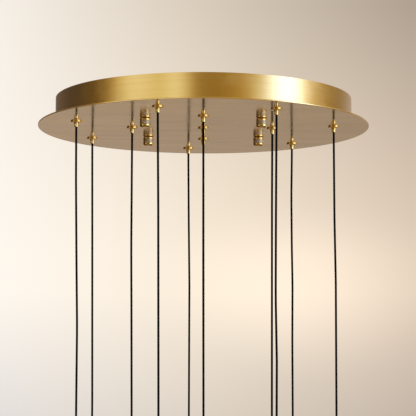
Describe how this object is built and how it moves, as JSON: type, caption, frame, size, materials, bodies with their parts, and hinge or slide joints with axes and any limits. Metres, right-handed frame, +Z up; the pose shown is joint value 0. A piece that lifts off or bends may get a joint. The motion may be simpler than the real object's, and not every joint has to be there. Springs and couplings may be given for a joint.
{
  "type": "multi-light pendant chandelier",
  "caption": "Round brass ceiling canopy with a flat plate, knurled cap nuts and a ring pattern of cord grips; small globe lamps hang on thin black cords at stepped heights.",
  "frame": {"origin": "middle of the ceiling bracket's top face, in the plane of the ceiling; everything hangs below it, along -Z", "axes": "+Z up, towards the ceiling; +X to the right as the picture shows the canopy; +Y away from the camera"},
  "size_m": [0.4959, 0.496, 0.8213],
  "materials": {
    "brushed_brass": "brushed along the drum",
    "satin_bronze": "satin, half mirror",
    "polished_gold": "polished",
    "steel": "zinc plated",
    "black_washer": "matte",
    "box_plastic": "matte",
    "terminal_plastic": "matte",
    "cord_black": "matte",
    "terminal_brass": "plain",
    "earth_green": "matte",
    "lamp_brass": "satin",
    "opal_glass": "opal"
  },
  "bodies": {
    "canopy": {"ceiling_bracket": "steel", "bracket_studs": "steel", "stop_nuts": "steel", "canopy_drum": "brushed_brass", "canopy_plate": "satin_bronze", "cap_nut_washers": "black_washer", "grip_saucers": "polished_gold", "grip_collars": "polished_gold", "grip_lock_nuts": "steel", "junction_box": "box_plastic", "junction_lid": "box_plastic", "lid_screws": "steel", "box_nuts": "steel", "terminal_strips": "terminal_plastic", "cord_tails": "cord_black", "earth_screw": "terminal_brass", "earth_wire": "earth_green"},
    "nut_1": {"cap_nut_1": "polished_gold"},
    "nut_2": {"cap_nut_2": "polished_gold"},
    "nut_3": {"cap_nut_3": "polished_gold"},
    "nut_4": {"cap_nut_4": "polished_gold"},
    "pendant_01": {"cord_01": "cord_black"},
    "lamp_01": {"lamp_holder_01": "lamp_brass"},
    "globe_01": {"bulb_01": "opal_glass"},
    "pendant_02": {"cord_02": "cord_black"},
    "lamp_02": {"lamp_holder_02": "lamp_brass"},
    "globe_02": {"bulb_02": "opal_glass"},
    "pendant_03": {"cord_03": "cord_black"},
    "lamp_03": {"lamp_holder_03": "lamp_brass"},
    "globe_03": {"bulb_03": "opal_glass"},
    "pendant_04": {"cord_04": "cord_black"},
    "lamp_04": {"lamp_holder_04": "lamp_brass"},
    "globe_04": {"bulb_04": "opal_glass"},
    "pendant_05": {"cord_05": "cord_black"},
    "lamp_05": {"lamp_holder_05": "lamp_brass"},
    "globe_05": {"bulb_05": "opal_glass"},
    "pendant_06": {"cord_06": "cord_black"},
    "lamp_06": {"lamp_holder_06": "lamp_brass"},
    "globe_06": {"bulb_06": "opal_glass"},
    "pendant_07": {"cord_07": "cord_black"},
    "lamp_07": {"lamp_holder_07": "lamp_brass"},
    "globe_07": {"bulb_07": "opal_glass"},
    "pendant_08": {"cord_08": "cord_black"},
    "lamp_08": {"lamp_holder_08": "lamp_brass"},
    "globe_08": {"bulb_08": "opal_glass"},
    "pendant_09": {"cord_09": "cord_black"},
    "lamp_09": {"lamp_holder_09": "lamp_brass"},
    "globe_09": {"bulb_09": "opal_glass"},
    "pendant_10": {"cord_10": "cord_black"},
    "lamp_10": {"lamp_holder_10": "lamp_brass"},
    "globe_10": {"bulb_10": "opal_glass"},
    "pendant_11": {"cord_11": "cord_black"},
    "lamp_11": {"lamp_holder_11": "lamp_brass"},
    "globe_11": {"bulb_11": "opal_glass"},
    "pendant_12": {"cord_12": "cord_black"},
    "lamp_12": {"lamp_holder_12": "lamp_brass"},
    "globe_12": {"bulb_12": "opal_glass"}
  },
  "joints": [
    {"name": "nut_1_turn", "type": "hinge", "parent": "canopy", "child": "nut_1", "pos_m": [0.085, 0.085, -0.0498], "axis": [0, 0, 1], "continuous": true},
    {"name": "nut_2_turn", "type": "hinge", "parent": "canopy", "child": "nut_2", "pos_m": [-0.085, 0.085, -0.0498], "axis": [0, 0, 1], "continuous": true},
    {"name": "nut_3_turn", "type": "hinge", "parent": "canopy", "child": "nut_3", "pos_m": [-0.085, -0.085, -0.0498], "axis": [0, 0, 1], "continuous": true},
    {"name": "nut_4_turn", "type": "hinge", "parent": "canopy", "child": "nut_4", "pos_m": [0.085, -0.085, -0.0498], "axis": [0, 0, 1], "continuous": true},
    {"name": "pendant_01_swing", "type": "hinge", "parent": "canopy", "child": "pendant_01", "pos_m": [0, 0, -0.0508], "axis": [0, 1, 0], "range_deg": [-3, 3]},
    {"name": "lamp_01_height", "type": "slide", "parent": "pendant_01", "child": "lamp_01", "axis": [0, 0, 1], "range_m": [0, 0.15], "deforming": ["cord_01"]},
    {"name": "bulb_01_turn", "type": "hinge", "parent": "lamp_01", "child": "globe_01", "pos_m": [0.0015, 0, -0.7558], "axis": [0, 0, 1], "continuous": true},
    {"name": "pendant_02_swing", "type": "hinge", "parent": "canopy", "child": "pendant_02", "pos_m": [0.1035, 0.0005, -0.0508], "axis": [0, 1, 0], "range_deg": [-3, 3]},
    {"name": "lamp_02_height", "type": "slide", "parent": "pendant_02", "child": "lamp_02", "axis": [0, 0, 1], "range_m": [0, 0.15], "deforming": ["cord_02"]},
    {"name": "bulb_02_turn", "type": "hinge", "parent": "lamp_02", "child": "globe_02", "pos_m": [0.1025, 0.0005, -0.6658], "axis": [0, 0, 1], "continuous": true},
    {"name": "pendant_03_swing", "type": "hinge", "parent": "canopy", "child": "pendant_03", "pos_m": [0, 0.103, -0.0508], "axis": [0, 1, 0], "range_deg": [-3, 3]},
    {"name": "lamp_03_height", "type": "slide", "parent": "pendant_03", "child": "lamp_03", "axis": [0, 0, 1], "range_m": [0, 0.15], "deforming": ["cord_03"]},
    {"name": "bulb_03_turn", "type": "hinge", "parent": "lamp_03", "child": "globe_03", "pos_m": [0.0015, 0.103, -0.6858], "axis": [0, 0, 1], "continuous": true},
    {"name": "pendant_04_swing", "type": "hinge", "parent": "canopy", "child": "pendant_04", "pos_m": [-0.107, -0.003, -0.0508], "axis": [0, 1, 0], "range_deg": [-3, 3]},
    {"name": "lamp_04_height", "type": "slide", "parent": "pendant_04", "child": "lamp_04", "axis": [0, 0, 1], "range_m": [0, 0.15], "deforming": ["cord_04"]},
    {"name": "bulb_04_turn", "type": "hinge", "parent": "lamp_04", "child": "globe_04", "pos_m": [-0.1045, -0.003, -0.7058], "axis": [0, 0, 1], "continuous": true},
    {"name": "pendant_05_swing", "type": "hinge", "parent": "canopy", "child": "pendant_05", "pos_m": [0, -0.105, -0.0508], "axis": [0, 1, 0], "range_deg": [-3, 3]},
    {"name": "lamp_05_height", "type": "slide", "parent": "pendant_05", "child": "lamp_05", "axis": [0, 0, 1], "range_m": [0, 0.15], "deforming": ["cord_05"]},
    {"name": "bulb_05_turn", "type": "hinge", "parent": "lamp_05", "child": "globe_05", "pos_m": [0.0015, -0.105, -0.7258], "axis": [0, 0, 1], "continuous": true},
    {"name": "pendant_06_swing", "type": "hinge", "parent": "canopy", "child": "pendant_06", "pos_m": [0.19476, -0.01704, -0.0508], "axis": [0, 1, 0], "range_deg": [-3, 3]},
    {"name": "lamp_06_height", "type": "slide", "parent": "pendant_06", "child": "lamp_06", "axis": [0, 0, 1], "range_m": [0, 0.15], "deforming": ["cord_06"]},
    {"name": "bulb_06_turn", "type": "hinge", "parent": "lamp_06", "child": "globe_06", "pos_m": [0.19676, -0.01704, -0.5258], "axis": [0, 0, 1], "continuous": true},
    {"name": "pendant_07_swing", "type": "hinge", "parent": "canopy", "child": "pendant_07", "pos_m": [0.13928, 0.14423, -0.0508], "axis": [0, 1, 0], "range_deg": [-3, 3]},
    {"name": "lamp_07_height", "type": "slide", "parent": "pendant_07", "child": "lamp_07", "axis": [0, 0, 1], "range_m": [0, 0.15], "deforming": ["cord_07"]},
    {"name": "bulb_07_turn", "type": "hinge", "parent": "lamp_07", "child": "globe_07", "pos_m": [0.13978, 0.14423, -0.5458], "axis": [0, 0, 1], "continuous": true},
    {"name": "pendant_08_swing", "type": "hinge", "parent": "canopy", "child": "pendant_08", "pos_m": [-0.02407, 0.19603, -0.0508], "axis": [0, 1, 0], "range_deg": [-3, 3]},
    {"name": "lamp_08_height", "type": "slide", "parent": "pendant_08", "child": "lamp_08", "axis": [0, 0, 1], "range_m": [0, 0.15], "deforming": ["cord_08"]},
    {"name": "bulb_08_turn", "type": "hinge", "parent": "lamp_08", "child": "globe_08", "pos_m": [-0.02157, 0.19603, -0.5658], "axis": [0, 0, 1], "continuous": true},
    {"name": "pendant_09_swing", "type": "hinge", "parent": "canopy", "child": "pendant_09", "pos_m": [-0.17233, 0.0975, -0.0508], "axis": [0, 1, 0], "range_deg": [-3, 3]},
    {"name": "lamp_09_height", "type": "slide", "parent": "pendant_09", "child": "lamp_09", "axis": [0, 0, 1], "range_m": [0, 0.15], "deforming": ["cord_09"]},
    {"name": "bulb_09_turn", "type": "hinge", "parent": "lamp_09", "child": "globe_09", "pos_m": [-0.16833, 0.0975, -0.5858], "axis": [0, 0, 1], "continuous": true},
    {"name": "pendant_10_swing", "type": "hinge", "parent": "canopy", "child": "pendant_10", "pos_m": [-0.18744, -0.05731, -0.0508], "axis": [0, 1, 0], "range_deg": [-3, 3]},
    {"name": "lamp_10_height", "type": "slide", "parent": "pendant_10", "child": "lamp_10", "axis": [0, 0, 1], "range_m": [0, 0.15], "deforming": ["cord_10"]},
    {"name": "bulb_10_turn", "type": "hinge", "parent": "lamp_10", "child": "globe_10", "pos_m": [-0.18294, -0.05731, -0.6058], "axis": [0, 0, 1], "continuous": true},
    {"name": "pendant_11_swing", "type": "hinge", "parent": "canopy", "child": "pendant_11", "pos_m": [-0.06442, -0.18193, -0.0508], "axis": [0, 1, 0], "range_deg": [-3, 3]},
    {"name": "lamp_11_height", "type": "slide", "parent": "pendant_11", "child": "lamp_11", "axis": [0, 0, 1], "range_m": [0, 0.15], "deforming": ["cord_11"]},
    {"name": "bulb_11_turn", "type": "hinge", "parent": "lamp_11", "child": "globe_11", "pos_m": [-0.06092, -0.18193, -0.6258], "axis": [0, 0, 1], "continuous": true},
    {"name": "pendant_12_swing", "type": "hinge", "parent": "canopy", "child": "pendant_12", "pos_m": [0.10386, -0.16622, -0.0508], "axis": [0, 1, 0], "range_deg": [-3, 3]},
    {"name": "lamp_12_height", "type": "slide", "parent": "pendant_12", "child": "lamp_12", "axis": [0, 0, 1], "range_m": [0, 0.15], "deforming": ["cord_12"]},
    {"name": "bulb_12_turn", "type": "hinge", "parent": "lamp_12", "child": "globe_12", "pos_m": [0.10286, -0.16622, -0.6458], "axis": [0, 0, 1], "continuous": true}
  ]
}
